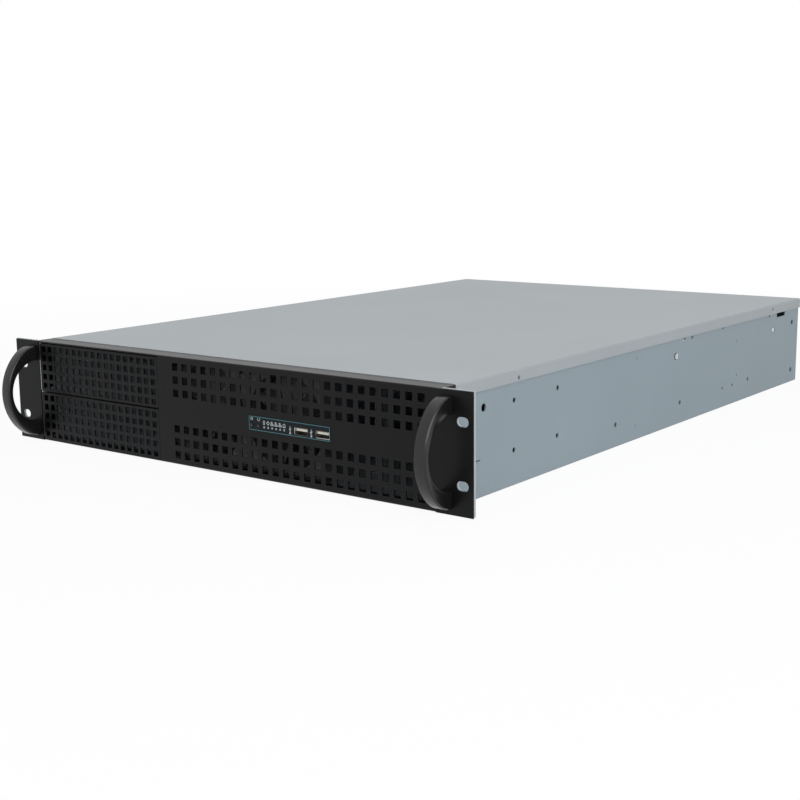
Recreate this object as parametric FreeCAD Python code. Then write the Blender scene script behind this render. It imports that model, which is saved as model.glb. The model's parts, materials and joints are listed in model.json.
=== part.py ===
"""Empty 2U rackmount server case, in millimetres.

Frame: +X to the right, +Y to the rear, +Z up. The origin is the centre of the four rack
slots, on the rear face of the ears, which is the face that seats on the rack's rails.
"""
import FreeCAD, Part
import math
import os

V = FreeCAD.Vector
X_AXIS = V(1, 0, 0)
Y_AXIS = V(0, 1, 0)
Z_AXIS = V(0, 0, 1)

# ---------------------------------------------------------------- the case as a whole
rack_width = 482.6            # over the ears
ear_reach = 26.3              # ears beyond the body, on each side
body_height = 88.0            # floor underside to cover top
body_depth = 660.0            # bezel face to rear panel
pan_sheet = 1.0
cover_sheet = 1.0
bezel_sheet = 1.0
ear_sheet = 2.0
cage_sheet = 0.8
bend_radius = 0.6             # inside radius of every fold
fit_gap = 0.3                 # between pieces that come apart or slide
corner_relief = bend_radius + 0.1   # notch that clears the inside of another piece's fold

# ---------------------------------------------------------------- rack slots and ears
rack_slot_inset = 8.75        # slot's centre from the ear's edge
rack_slot_rise = 44.45
rack_slot_length = 10.0
rack_slot_width = 7.0
ear_flange_depth = 36.0       # the leg that lies against the side wall
ear_raise = 0.7               # the ear stands a little above the bezel's lower edge
ear_tab_height = 13.8         # hook that locks the ear's leg in the wall
ear_tab_width = 2.4
ear_tab_low = -30.2
ear_tab_stand = 0.6           # hook's end beyond the wall
ear_tab_back = 2.6            # hook's middle behind the leg
ear_relief_length = 8.4       # slit behind the hook's upper end
ear_relief_height = 0.8

# ---------------------------------------------------------------- bezel
bezel_margin = 0.4            # body height beyond the bezel, top and bottom
bezel_flange = 17.5           # depth of the folded top and bottom edges
end_tab_height = 15.0
end_tab_corner = 3.0
grille_hole = 6.0
grille_columns = 24
grille_pitch_x = 10.48
grille_first_x = -42.8
grille_rows = 3               # rows above the plain band, and the same below it
grille_pitch_z = 10.6
grille_band_z = 14.4          # first row's distance from the middle

# ---------------------------------------------------------------- 5.25 inch bays
bay_width = 146.6             # clear width of the cage
bay_cage_depth = 175.0
bay_gap_left = 1.7            # slit beside the covers, where bare steel shows
cage_finger_low = 0.8         # finger of the cage that shows in the slit
cage_finger_height = 26.5
cage_finger_inset = 0.2       # behind the bezel's face
bay_cover_parting = 1.3       # between the two covers
bay_cover_top_gap = 0.9       # above the upper cover
bay_cover_sheet = 1.0
bay_cover_edge = 6.0          # depth of the folded top and bottom edges
bay_cover_side = 12.0         # depth of the folded side edges, which grip the cage
bay_corner_relief = 1.2
bay_hole = 5.0
bay_hole_pitch = 8.0
bay_columns = 18
bay_rows = 5

# ---------------------------------------------------------------- handles
handle_inset = 22.1           # handle's middle from the ear's edge
handle_width = 10.2
handle_reach = 31.5
handle_half_height = 39.5
handle_grip = 5.2             # thickness of the grip in front
handle_foot = 13.0            # height of each foot on the bezel
handle_edge = 1.0
handle_shoulder = 0.62        # radius of the oval's shoulders, over half its height
inner_shoulder = 0.8
handle_screw_r = 2.0
handle_screw_grip = 8.0
screw_head_across = 7.0
screw_head_height = 2.2

# ---------------------------------------------------------------- pan and cover
top_flange = 8.0              # inward fold along the top of each side wall
lip_height = 9.6
tongue_sheet = 0.8
tongue_reach = 8.5
hook_slot_height = 4.6
hook_slot_length = 22.0
hook_slot_y = 608.4
lance_height = 2.6
lance_length = 5.0
lance_spacing = 16.5
lance_y = 386.5
lance_drop = 0.6              # lances lie this far under the cover's lip
slot_drop = 0.1               # and the hook slots this far
lip_hole_r = 1.6
lip_holes = ((96.3, 2.8), (583.0, 5.2))       # along the case, and over the lip's edge

# ---------------------------------------------------------------- side wall holes
cage_hole_y = (92.0, 154.8)
cage_hole_z = (-16.7, 20.9)
cage_hole_r = 2.0
rail_hole_y = (250.2, 372.8, 526.8)
rail_hole_z = -24.4
rail_hole_r = 2.0
vent_hole_r = 3.0
vent_hole = (51.3, 21.7)
tie_holes = ((590.0, 17.7), (640.3, 20.4), (641.8, -30.7))
tie_hole_r = 2.7
wall_screw_r = 1.9
wall_screw_head = 0.9
wall_screw_grip = 5.0
screw_clearance = 0.1

# ---------------------------------------------------------------- rear panel
rear_flange = 12.0
thumb_x = 148.0
thumb_head_across = 9.0
thumb_head_length = 7.0
thumb_shank_r = 1.75
thumb_grip = 5.0
thumb_sides = 16
io_width = 158.75
io_height = 44.45
io_left_x = -60.0
io_bottom = 4.0               # above the pan's floor
vent_slot_width = 3.2
vent_slot_height = 18.0
vent_slot_pitch = 7.6
vent_slot_count = 20
vent_slot_rise = 4.5          # above the input and output opening
psu_width = 100.0
psu_height = 70.0
psu_side_gap = 6.0
psu_window_width = 84.0
psu_window_height = 54.0
psu_screw_x = 92.0
psu_screw_z = 62.0
psu_screw_r = 2.0
psu_bracket_length = 130.0
psu_bracket_height = 52.0
bracket_window_end = 20.0     # window's distance from the guide's ends
bracket_window_low = 16.0     # and from the floor
bracket_window_high = 40.0
bracket_foot = 12.0

# ---------------------------------------------------------------- expansion slots
slot_count = 7
slot_pitch = 20.32
slot_first_x = -79.5
slot_window = 14.4
slot_recess = 12.0            # the covers stand in front of the rear panel
slot_ledge_z = 33.0
slot_foot_gap = 3.0
slot_window_low = 7.0
slot_window_top = 5.0
slot_cover_width = 18.4
slot_cover_sheet = 0.8
slot_tab = 10.2
slot_screw_back = 6.1         # screw behind the frame's face
slot_flange = 8.0
slot_screw_r = 1.5
slot_screw_across = 6.0
slot_screw_head = 2.0
slot_screw_grip = 5.0
screw_head_room = 1.2
recess_edge = 1.2             # the recess's frame laps this far behind the rear panel

# ---------------------------------------------------------------- hard drive cage and brace
hdd_width = 102.6
hdd_front_y = 60.0
hdd_depth = 150.0
cage_foot = 11.0
cage_window_height = 34.0
cage_window_length = 52.0
cage_window_step = 64.5
cage_slit = 10.0              # upright slits behind the side wall's four holes
drive_slot_length = 7.0
drive_slot_height = 3.4
drive_slot_spacing = 79.25
drive_slot_y = 52.0
brace_y = 352.0
brace_width = 20.0
brace_side = 8.0
brace_leg_end = 8.0           # leg below its screw
brace_screw_z = 19.1
brace_screw_head_r = 2.6

# ---------------------------------------------------------------- fans
fan_size = 80.0
fan_depth = 25.0
fan_front_y = 12.0
fan_gap = 0.6
fan_duct_r = 38.0
fan_corner = 4.0
fan_hole_span = 71.5
fan_hole_r = 2.2
fan_hub_r = 16.0
fan_hub_edge = 2.0
fan_strut = 4.0
fan_strut_depth = 2.6
fan_struts = 4
blade_count = 7
blade_tip_r = 36.0            # flat tips, clear of the duct
blade_thickness = 0.065       # over the chord
blade_root_chord = 17.0
blade_tip_chord = 22.0
blade_angle = 38.0
blade_camber = 0.085          # over the chord
rotor_inset = 1.4             # rotor behind the frame's front face
fan_screw_across = 6.4
fan_screw_head = 1.8
fan_screw_grip = 10.0
tray_sheet = 1.0

# ---------------------------------------------------------------- front input and output
io_label_left = 36.0
io_label_width = 80.7
io_label_height = 11.3
io_label_sheet = 0.25
button_x = (39.2, 46.3)
button_z = -1.6
button_r = 1.2
button_collar_r = 1.9
button_collar = 0.8
button_length = 6.6
button_stand = 0.7            # button's tip in front of the label
button_travel = 0.8
led_count = 6
led_first_x = 51.8
led_pitch = 4.04
led_z = -2.1
led_width = 1.6
led_height = 2.6
led_length = 5.0
led_window_height = 2.4
usb_x = (88.8, 109.4)
usb_z = -1.2
usb_width = 13.1
usb_height = 5.7
usb_length = 13.4
usb_wall = 0.3
usb_tongue_height = 1.9
usb_tongue_inset = 1.2
usb_tongue_side = 0.6
board_sheet = 1.6
board_side = 2.0
board_depth = 12.6
switch_width = 5.0
switch_height = 3.4
io_bracket_sheet = 1.0
io_bracket_drop = 5.6
io_gap = 0.2

# ---------------------------------------------------------------- board standoffs
standoff_height = 6.35
standoff_across = 5.0
board_edge_x = 97.0
standoff_x_steps = (6.35, 157.48, 124.46)
standoff_y_steps = (10.16, 154.94, 72.39)
board_rear_gap = 1.5          # main board in front of the slot covers

# ---------------------------------------------------------------- levels that follow
body_width = rack_width - 2 * ear_reach            # over the cover's lips
rack_slot_span = rack_width - 2 * rack_slot_inset
handle_centre_x = rack_width / 2 - handle_inset
floor_z = -body_height / 2
top_z = body_height / 2
deck_z = floor_z + pan_sheet                       # upper side of the floor
pan_top_z = top_z - cover_sheet - fit_gap
bezel_back_y = -ear_sheet
pan_front_y = bend_radius + fit_gap
bezel_front_y = bezel_back_y - bezel_sheet
flange_back_y = bezel_front_y + bezel_flange
cover_front_y = flange_back_y + fit_gap
rear_y = bezel_front_y + body_depth
rear_inner_y = rear_y - pan_sheet
bezel_top_z = top_z - bezel_margin
bezel_low_z = floor_z + bezel_margin
flange_under_z = bezel_top_z - bezel_sheet
flange_over_z = bezel_low_z + bezel_sheet
wall_outer_x = body_width / 2 - cover_sheet - fit_gap
wall_inner_x = wall_outer_x - pan_sheet
lip_low_z = top_z - lip_height
bay_left_x = -wall_inner_x + ear_sheet + cage_sheet
bay_right_x = bay_left_x + bay_width
bay_cover_left = bay_left_x + fit_gap
bay_cover_right = bay_right_x - fit_gap
bay_cover_room = flange_under_z - bay_cover_top_gap - flange_over_z - fit_gap
bay_cover_height = (bay_cover_room - bay_cover_parting) / 2
bay_cover_low = (flange_over_z + fit_gap, flange_over_z + fit_gap + bay_cover_height + bay_cover_parting)
tongue_top_z = flange_under_z - fit_gap
cage_roof_z = tongue_top_z - tongue_sheet - fit_gap - cage_sheet
fan_left_x = bay_right_x + cage_sheet + 1.5
fan_centre_x = [fan_left_x + fan_size / 2 + i * (fan_size + fan_gap) for i in range(2)]
fan_back_y = fan_front_y + fan_depth
fan_centre_z = deck_z + 3.0 + fan_size / 2
hdd_right_x = wall_inner_x - cage_sheet
hdd_left_x = hdd_right_x - hdd_width
board_top_z = usb_z - usb_height / 2 - 0.1
slot_plate_y = rear_inner_y - slot_recess
psu_right_x = wall_inner_x - psu_side_gap
psu_left_x = psu_right_x - psu_width
psu_centre_z = deck_z + psu_height / 2 + 0.5
psu_centre_x = psu_right_x - psu_width / 2


slots_x = [slot_first_x - i * slot_pitch for i in range(slot_count)]
recess_left_x = -wall_inner_x + pan_sheet + bend_radius + io_gap
recess_right_x = io_left_x + io_width + 2 * recess_edge
recess_top_z = slot_ledge_z + slot_cover_sheet + slot_screw_head + screw_head_room


# ---------------------------------------------------------------- shape helpers
def box(x0, x1, y0, y1, z0, z1):
    return Part.makeBox(x1 - x0, y1 - y0, z1 - z0, V(x0, y0, z0))


def rod(radius, base, axis, length):
    return Part.makeCylinder(radius, length, base, axis)


def mirrored(shape):
    return shape.mirror(V(0, 0, 0), X_AXIS)


def fused(shapes):
    whole = shapes[0].multiFuse(shapes[1:])
    return whole.removeSplitter()


def cut_all(shape, tools):
    return shape.cut(Part.makeCompound(tools))


def edges_near(shape, points):
    """Edges whose middle lies at one of the points."""
    found = []
    for edge in shape.Edges:
        middle = edge.valueAt((edge.FirstParameter + edge.LastParameter) / 2)
        if any(middle.distanceToPoint(point) < 1e-4 for point in points):
            found.append(edge)
    return found


def folded(path, sheet, place, run):
    """A sheet folded at right angles. The path is one face of it, and the sheet lies to the left."""
    steps = [(b[0] - a[0], b[1] - a[1]) for a, b in zip(path, path[1:])]
    lefts = [(-dy / math.hypot(dx, dy), dx / math.hypot(dx, dy)) for dx, dy in steps]
    other = []
    for i, (a, b) in enumerate(path):
        sides = [lefts[0]] if i == 0 else [lefts[-1]] if i == len(path) - 1 else lefts[i - 1:i + 1]
        other.append((a + sheet * sum(n[0] for n in sides), b + sheet * sum(n[1] for n in sides)))
    ring = [place(a, b) for a, b in path + other[::-1]]
    solid = Part.Face(Part.makePolygon(ring + ring[:1])).extrude(run)
    outer, inner = [], []
    for i in range(1, len(path) - 1):
        turns_left = lefts[i - 1][0] * lefts[i][1] - lefts[i - 1][1] * lefts[i][0] > 0
        near, far = (path[i], other[i]) if turns_left else (other[i], path[i])
        outer.append(place(*near) + run * 0.5)
        inner.append(place(*far) + run * 0.5)
    solid = solid.makeFillet(bend_radius + sheet, edges_near(solid, outer))
    return solid.makeFillet(bend_radius, edges_near(solid, inner))


def prism(sides, across, base, axis, length):
    """Regular prism, such as a nut's or a screw head's."""
    radius = across / 2 / math.cos(math.pi / sides)
    first = Y_AXIS if abs(axis.z) > 0.5 else Z_AXIS
    turn = FreeCAD.Rotation(axis, 360 / sides)
    corner = first * radius
    ring = []
    for _ in range(sides):
        ring.append(base + corner)
        corner = turn.multVec(corner)
    return Part.Face(Part.makePolygon(ring + ring[:1])).extrude(axis * length)


def hex_screw(seat, outward, head_across, head_height, shank_r, grip):
    head = prism(6, head_across, seat, outward, head_height)
    return fused([head, rod(shank_r, seat, outward * -1, grip)])


def obround(centre_x, centre_z, length, width, y0, y1):
    """A slot with round ends, along X, through a plate that lies across Y."""
    half = (length - width) / 2
    middle = box(centre_x - half, centre_x + half, y0, y1, centre_z - width / 2, centre_z + width / 2)
    ends = [rod(width / 2, V(centre_x + s * half, y0, centre_z), Y_AXIS, y1 - y0) for s in (-1, 1)]
    return fused([middle] + ends)


def grid(count, pitch, middle):
    return [middle + (i - (count - 1) / 2) * pitch for i in range(count)]


def bow(x, reach, half_height, nose_share):
    """Front half of an oval on the bezel's face: a flat nose arc between two shoulder arcs."""
    shoulder = half_height * nose_share
    nose = (half_height ** 2 + reach ** 2 - 2 * shoulder * half_height) / (2 * (reach - shoulder))
    lean = math.atan2(half_height - shoulder, nose - reach)
    y0 = bezel_front_y

    def at(side, angle):
        """A point of the shoulder arc; the angle runs from the foot towards the nose."""
        z = half_height - shoulder + shoulder * math.cos(angle)
        return V(x, y0 - shoulder * math.sin(angle), side * z)

    joint = math.pi / 2 - lean
    edges = [Part.Arc(at(1, 0), at(1, joint / 2), at(1, joint)).toShape(),
             Part.Arc(at(1, joint), V(x, y0 - reach, 0), at(-1, joint)).toShape(),
             Part.Arc(at(-1, joint), at(-1, joint / 2), at(-1, 0)).toShape()]
    return edges


def wall_hole(radius, y, z):
    """A drill that goes through both side walls and what lies against them."""
    return rod(radius, V(-rack_width / 2, y, z), X_AXIS, rack_width)


def corner_notches(y0, y1):
    """Boxes that clear the inside of the pan's four folds."""
    low, high = deck_z + corner_relief, pan_top_z - pan_sheet - corner_relief
    notches = []
    for side in (-1, 1):
        x0, x1 = sorted((side * (wall_inner_x - corner_relief), side * body_width / 2))
        notches += [box(x0, x1, y0, y1, floor_z, low), box(x0, x1, y0, y1, high, top_z)]
    return notches



# ---------------------------------------------------------------- positions shared by several pieces
rack_slots = [(sx * rack_slot_span / 2, sz * rack_slot_rise / 2) for sx in (-1, 1) for sz in (-1, 1)]
handle_screw_z = handle_half_height - handle_foot / 2 - 0.4
handle_screws_at = [(sx * handle_centre_x, sz * handle_screw_z) for sx in (-1, 1) for sz in (-1, 1)]
cage_holes_at = [(y, z) for y in cage_hole_y for z in cage_hole_z]
brace_screw_at = (brace_y + brace_width / 2, brace_screw_z)
thumb_at = [(x, top_z - lip_height / 2 - 0.2) for x in (-thumb_x, 0, thumb_x)]
led_at = [(led_first_x + i * led_pitch, led_z) for i in range(led_count)]
button_at = [(x, button_z) for x in button_x]
ear_tab_y = ear_flange_depth + ear_tab_back


# ---------------------------------------------------------------- chassis
def chassis_pan():
    """Floor, both side walls and their inward top folds, out of one sheet."""
    path = [(-(wall_outer_x - top_flange), pan_top_z), (-wall_outer_x, pan_top_z),
            (-wall_outer_x, floor_z), (wall_outer_x, floor_z),
            (wall_outer_x, pan_top_z), (wall_outer_x - top_flange, pan_top_z)]
    pan = folded(path, pan_sheet, lambda a, b: V(a, pan_front_y, b), V(0, rear_y - pan_front_y, 0))
    wide = body_width / 2
    cuts = [box(-wide, wide, -1, cover_front_y, flange_under_z - fit_gap, top_z),
            box(-wall_inner_x, wall_inner_x, -1, cover_front_y, pan_top_z - pan_sheet - corner_relief, top_z),
            box(-wide, wide, -1, cover_front_y, floor_z - 1, flange_over_z + fit_gap)]
    inner = wall_inner_x - top_flange - 1
    slot_z = lip_low_z - slot_drop
    lance_z = lip_low_z - lance_drop
    for side in (-1, 1):
        x0, x1 = sorted((side * inner, side * wide))
        cuts.append(box(x0, x1, hook_slot_y - hook_slot_length / 2, hook_slot_y + hook_slot_length / 2,
                        slot_z - hook_slot_height, slot_z))
        for end in (-1, 1):
            middle = lance_y + end * lance_spacing / 2
            cuts.append(box(x0, x1, middle - lance_length / 2, middle + lance_length / 2,
                            lance_z - lance_height, lance_z))
        room = ear_tab_width / 2 + io_gap
        cuts.append(box(x0, x1, ear_tab_y - room, ear_tab_y + room,
                        ear_tab_low - io_gap, ear_tab_low + ear_tab_height + io_gap))
        cuts.append(box(x0, x1, ear_tab_y, ear_tab_y + ear_relief_length,
                        ear_tab_low + ear_tab_height, ear_tab_low + ear_tab_height + ear_relief_height))
    cuts += [wall_hole(cage_hole_r, y, z) for y, z in cage_holes_at]
    cuts += [wall_hole(rail_hole_r, y, rail_hole_z) for y in rail_hole_y]
    cuts += [wall_hole(tie_hole_r, y, z) for y, z in tie_holes]
    cuts.append(wall_hole(wall_screw_r + screw_clearance, *brace_screw_at))
    cuts.append(wall_hole(vent_hole_r, *vent_hole))
    return cut_all(pan, cuts)


def rack_ear(side):
    """Thick bare bracket: an ear with the rack slots, and a leg inside the side wall."""
    inner = wall_inner_x - ear_sheet
    path = [(inner, ear_tab_y + ear_tab_width / 2), (inner, bezel_back_y), (rack_width / 2, bezel_back_y)]
    low = bezel_low_z + ear_raise
    ear = folded(path, ear_sheet, lambda a, b: V(a, b, low), V(0, 0, top_z - low))
    hook = box(wall_inner_x - ear_sheet / 2, wall_outer_x + ear_tab_stand,
               ear_tab_y - ear_tab_width / 2, ear_tab_y + ear_tab_width / 2,
               ear_tab_low, ear_tab_low + ear_tab_height)
    ear = fused([ear, hook])
    corner = body_width / 2 + fit_gap
    leg_top = flange_under_z - corner_relief
    leg_low = flange_over_z + corner_relief
    front = bezel_front_y - 1
    cuts = [box(0, corner, front, body_depth, leg_top, top_z + 1),
            box(0, corner, front, body_depth, floor_z - 1, leg_low),
            box(0, wall_inner_x, fit_gap, body_depth, pan_top_z - pan_sheet - corner_relief, top_z),
            box(0, wall_inner_x + 0.1, cover_front_y - 1, body_depth, floor_z, deck_z + corner_relief)]
    cuts += [obround(x, z, rack_slot_length, rack_slot_width, bezel_back_y - 1, 1)
             for x, z in rack_slots if x > 0]
    cuts += [rod(handle_screw_r + screw_clearance, V(x, bezel_back_y - 1, z), Y_AXIS, ear_sheet + 2)
             for x, z in handle_screws_at if x > 0]
    ear = cut_all(ear, cuts)
    return ear if side > 0 else mirrored(ear)


def rear_panel():
    """Rear wall with side flanges, and the openings for the board, the cards and the power supply."""
    path = [(wall_inner_x, rear_y - rear_flange), (wall_inner_x, rear_y),
            (-wall_inner_x, rear_y), (-wall_inner_x, rear_y - rear_flange)]
    high = pan_top_z - pan_sheet - io_gap
    panel = folded(path, pan_sheet, lambda a, b: V(a, b, deck_z), V(0, 0, high - deck_z))
    y0, y1 = rear_inner_y - 1, rear_y + 1
    cuts = corner_notches(y0 - rear_flange, y1)
    cuts.append(box(recess_left_x + recess_edge, recess_right_x - recess_edge, y0, y1,
                    deck_z + slot_foot_gap, recess_top_z))
    cuts.append(box(psu_centre_x - psu_window_width / 2, psu_centre_x + psu_window_width / 2, y0, y1,
                    psu_centre_z - psu_window_height / 2, psu_centre_z + psu_window_height / 2))
    cuts += [rod(psu_screw_r, V(psu_centre_x + sx * psu_screw_x / 2, y0, psu_centre_z + sz * psu_screw_z / 2),
                 Y_AXIS, 3) for sx in (-1, 1) for sz in (-1, 1)]
    cuts += [rod(thumb_shank_r + screw_clearance, V(x, y0, z), Y_AXIS, 3) for x, z in thumb_at]
    return cut_all(panel, cuts)


def slot_frame():
    """Recessed frame behind the rear panel's card opening, with a ledge for the covers' tabs."""
    path = [(rear_inner_y - pan_sheet, slot_ledge_z + slot_flange), (rear_inner_y - pan_sheet, slot_ledge_z),
            (slot_plate_y, slot_ledge_z), (slot_plate_y, deck_z)]
    frame = folded(path, pan_sheet, lambda a, b: V(recess_left_x, a, b),
                   V(recess_right_x - recess_left_x, 0, 0))
    y0, y1 = slot_plate_y - 1, slot_plate_y + 2
    cuts = [box(x - slot_window / 2, x + slot_window / 2, y0, y1,
                deck_z + slot_window_low, slot_ledge_z - slot_window_top) for x in slots_x]
    cuts += [rod(slot_screw_r + screw_clearance, V(x, slot_plate_y + slot_screw_back, slot_ledge_z - 3),
                 Z_AXIS, 4) for x in slots_x]
    io_low = deck_z + io_bottom
    cuts.append(box(io_left_x, io_left_x + io_width, y0, y1, io_low, io_low + io_height))
    vent_low = io_low + io_height + vent_slot_rise
    for x in grid(vent_slot_count, vent_slot_pitch, io_left_x + io_width / 2):
        cuts.append(box(x - vent_slot_width / 2, x + vent_slot_width / 2, y0, y1,
                        vent_low, vent_low + vent_slot_height))
    cuts.append(box(recess_left_x + recess_edge, recess_right_x - recess_edge,
                    rear_inner_y - pan_sheet - 0.01, rear_y, slot_ledge_z + pan_sheet, recess_top_z))
    cuts += [rod(thumb_shank_r + screw_clearance, V(x, rear_inner_y - 3, z), Y_AXIS, 4) for x, z in thumb_at]
    return cut_all(frame, cuts)


def slot_cover(number):
    """Blank for one card slot: a strip in front of the frame, with a tab on the ledge."""
    centre = slots_x[number]
    top = slot_ledge_z + slot_cover_sheet
    path = [(slot_plate_y + slot_tab, top), (slot_plate_y - slot_cover_sheet, top),
            (slot_plate_y - slot_cover_sheet, deck_z + slot_foot_gap)]
    strip = folded(path, slot_cover_sheet, lambda a, b: V(centre - slot_cover_width / 2, a, b),
                   V(slot_cover_width, 0, 0))
    foot = (slot_cover_width - slot_window) / 2 + 2
    notch = slot_screw_r + screw_clearance
    cuts = [box(centre - notch, centre + notch, slot_plate_y + slot_screw_back - notch,
                slot_plate_y + slot_tab + 1, slot_ledge_z - 1, top + 1)]
    for side in (-1, 1):
        x0, x1 = sorted((centre + side * slot_cover_width, centre + side * (slot_cover_width / 2 - foot)))
        cuts.append(box(x0, x1, slot_plate_y - 3, slot_plate_y + 1, deck_z, deck_z + slot_window_low - 1))
    return cut_all(strip, cuts)


def slot_screws():
    screws = []
    for x in slots_x:
        seat = V(x, slot_plate_y + slot_screw_back, slot_ledge_z + slot_cover_sheet)
        screws.append(hex_screw(seat, Z_AXIS, slot_screw_across, slot_screw_head,
                                slot_screw_r, slot_screw_grip))
    return Part.makeCompound(screws)


def brace_screws():
    """Low screws through both side walls into the brace."""
    y, z = brace_screw_at
    screws = []
    for side in (-1, 1):
        seat = V(side * wall_outer_x, y, z)
        head = rod(brace_screw_head_r, seat, X_AXIS * side, wall_screw_head)
        shank = rod(wall_screw_r, seat, X_AXIS * -side, wall_screw_grip)
        screws.append(fused([head, shank]))
    return Part.makeCompound(screws)


def psu_bracket():
    """Side guide for the power supply, with a foot on the floor."""
    face = psu_left_x - fit_gap
    path = [(face - bracket_foot, deck_z), (face, deck_z), (face, deck_z + psu_bracket_height)]
    y0 = slot_plate_y - slot_cover_sheet - fit_gap - psu_bracket_length
    guide = folded(path, pan_sheet, lambda a, b: V(a, y0, b), V(0, psu_bracket_length, 0))
    window = box(face - 2 * pan_sheet, face + pan_sheet,
                 y0 + bracket_window_end, y0 + psu_bracket_length - bracket_window_end,
                 deck_z + bracket_window_low, deck_z + bracket_window_high)
    return guide.cut(window)


def cross_brace():
    """Channel under the cover that ties both side walls together."""
    under = pan_top_z - pan_sheet
    path = [(brace_y, under - brace_side), (brace_y, under), (brace_y + brace_width, under),
            (brace_y + brace_width, under - brace_side)]
    half = wall_inner_x - corner_relief
    channel = folded(path[::-1], pan_sheet, lambda a, b: V(-half, a, b), V(2 * half, 0, 0))
    legs = []
    for side in (-1, 1):
        x0, x1 = sorted((side * wall_inner_x, side * (wall_inner_x - pan_sheet)))
        legs.append(box(x0, x1, brace_y + pan_sheet, brace_y + brace_width - pan_sheet,
                        brace_screw_z - brace_leg_end, under - corner_relief))
    brace = fused([channel] + legs)
    return brace.cut(wall_hole(wall_screw_r + screw_clearance, *brace_screw_at))


def board_standoffs():
    """Hexagonal pillars for the main board, three by three."""
    xs, ys = [], []
    x = board_edge_x
    y = slot_plate_y - slot_cover_sheet - board_rear_gap
    for step in standoff_x_steps:
        x -= step
        xs.append(x)
    for step in standoff_y_steps:
        y -= step
        ys.append(y)
    pillars = []
    for x in xs:
        for y in ys:
            pillars.append(prism(6, standoff_across, V(x, y, deck_z), Z_AXIS, standoff_height))
    return Part.makeCompound(pillars)


# ---------------------------------------------------------------- cover
def top_cover():
    """Cover that slides back: side lips, a rear fold, and a tongue that tucks under the bezel."""
    half = body_width / 2
    path = [(half, lip_low_z), (half, top_z), (-half, top_z), (-half, lip_low_z)]
    end_y = rear_y + fit_gap + cover_sheet
    cover = folded(path, cover_sheet, lambda a, b: V(a, cover_front_y, b), V(0, end_y - cover_front_y, 0))
    tongue_half = wall_inner_x - top_flange - 3
    web = box(-tongue_half, tongue_half, cover_front_y, cover_front_y + tongue_sheet,
              tongue_top_z - tongue_sheet, top_z - cover_sheet / 2)
    tongue = box(-tongue_half, tongue_half, cover_front_y - tongue_reach, cover_front_y + tongue_sheet,
                 tongue_top_z - tongue_sheet, tongue_top_z)
    rear = box(-half + cover_sheet + bend_radius, half - cover_sheet - bend_radius,
               end_y - cover_sheet, end_y, lip_low_z, top_z - cover_sheet / 2)
    cover = fused([cover, web, tongue, rear])
    cuts = [wall_hole(lip_hole_r, y, lip_low_z + rise) for y, rise in lip_holes]
    cuts += [rod(thumb_shank_r + screw_clearance, V(x, rear_y, z), Y_AXIS, 5) for x, z in thumb_at]
    return cut_all(cover, cuts)


def cover_thumbscrews():
    """Captive screws along the cover's rear edge, with many-sided heads for the fingers."""
    screws = []
    seat = rear_y + fit_gap + cover_sheet
    for x, z in thumb_at:
        head = prism(thumb_sides, thumb_head_across, V(x, seat, z), Y_AXIS, thumb_head_length)
        shank = rod(thumb_shank_r, V(x, seat - thumb_grip, z), Y_AXIS, thumb_grip)
        screws.append(fused([head, shank]))
    return Part.makeCompound(screws)


# ---------------------------------------------------------------- bezel and bay covers
def front_bezel():
    """Black front: face, ears, and folded top and bottom edges with closed ends, out of one sheet."""
    half = body_width / 2
    path = [(flange_back_y, bezel_top_z), (bezel_front_y, bezel_top_z),
            (bezel_front_y, bezel_low_z), (flange_back_y, bezel_low_z)]
    tray = folded(path, bezel_sheet, lambda a, b: V(-half, a, b), V(2 * half, 0, 0))
    parts = [tray]
    for side in (-1, 1):
        x0, x1 = sorted((side * (half - 5), side * rack_width / 2))
        parts.append(box(x0, x1, bezel_front_y, bezel_back_y, bezel_low_z, bezel_top_z))
        x0, x1 = sorted((side * half, side * (half - bezel_sheet)))
        for z0, z1 in ((bezel_top_z - end_tab_height, bezel_top_z),
                       (bezel_low_z, bezel_low_z + end_tab_height)):
            tab = box(x0, x1, fit_gap, flange_back_y, z0, z1)
            corners = [e for e in tab.Edges if e.BoundBox.XLength > bezel_sheet / 2
                       and e.BoundBox.YMin > flange_back_y - 1e-3
                       and abs(e.BoundBox.ZMin - (z0 if z0 > 0 else z1)) < 1e-3]
            parts.append(tab.makeFillet(end_tab_corner, corners))
    bezel = fused(parts)
    y0, y1 = bezel_front_y - 1, bezel_back_y + 1
    cuts = [box(bay_cover_left - bay_gap_left, bay_cover_right + fit_gap, y0, y1 + bend_radius,
                flange_over_z, flange_under_z)]
    rows = [s * (grille_band_z + i * grille_pitch_z) for s in (-1, 1) for i in range(grille_rows)]
    for i in range(grille_columns):
        x = grille_first_x + i * grille_pitch_x
        cuts += [box(x - grille_hole / 2, x + grille_hole / 2, y0, y1,
                     z - grille_hole / 2, z + grille_hole / 2) for z in rows]
    cuts += [box(x - usb_width / 2 - io_gap, x + usb_width / 2 + io_gap, y0, y1,
                 usb_z - usb_height / 2 - io_gap, usb_z + usb_height / 2 + io_gap) for x in usb_x]
    cuts += [rod(button_r + io_gap, V(x, y0, z), Y_AXIS, y1 - y0) for x, z in button_at]
    cuts.append(box(led_at[0][0] - led_width, led_at[-1][0] + led_width, y0, y1,
                    led_z - led_window_height / 2, led_z + led_window_height / 2))
    cuts += [obround(x, z, rack_slot_length, rack_slot_width, y0, y1) for x, z in rack_slots]
    cuts += [rod(handle_screw_r + screw_clearance, V(x, y0, z), Y_AXIS, y1 - y0) for x, z in handle_screws_at]
    return cut_all(bezel, cuts)


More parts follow.
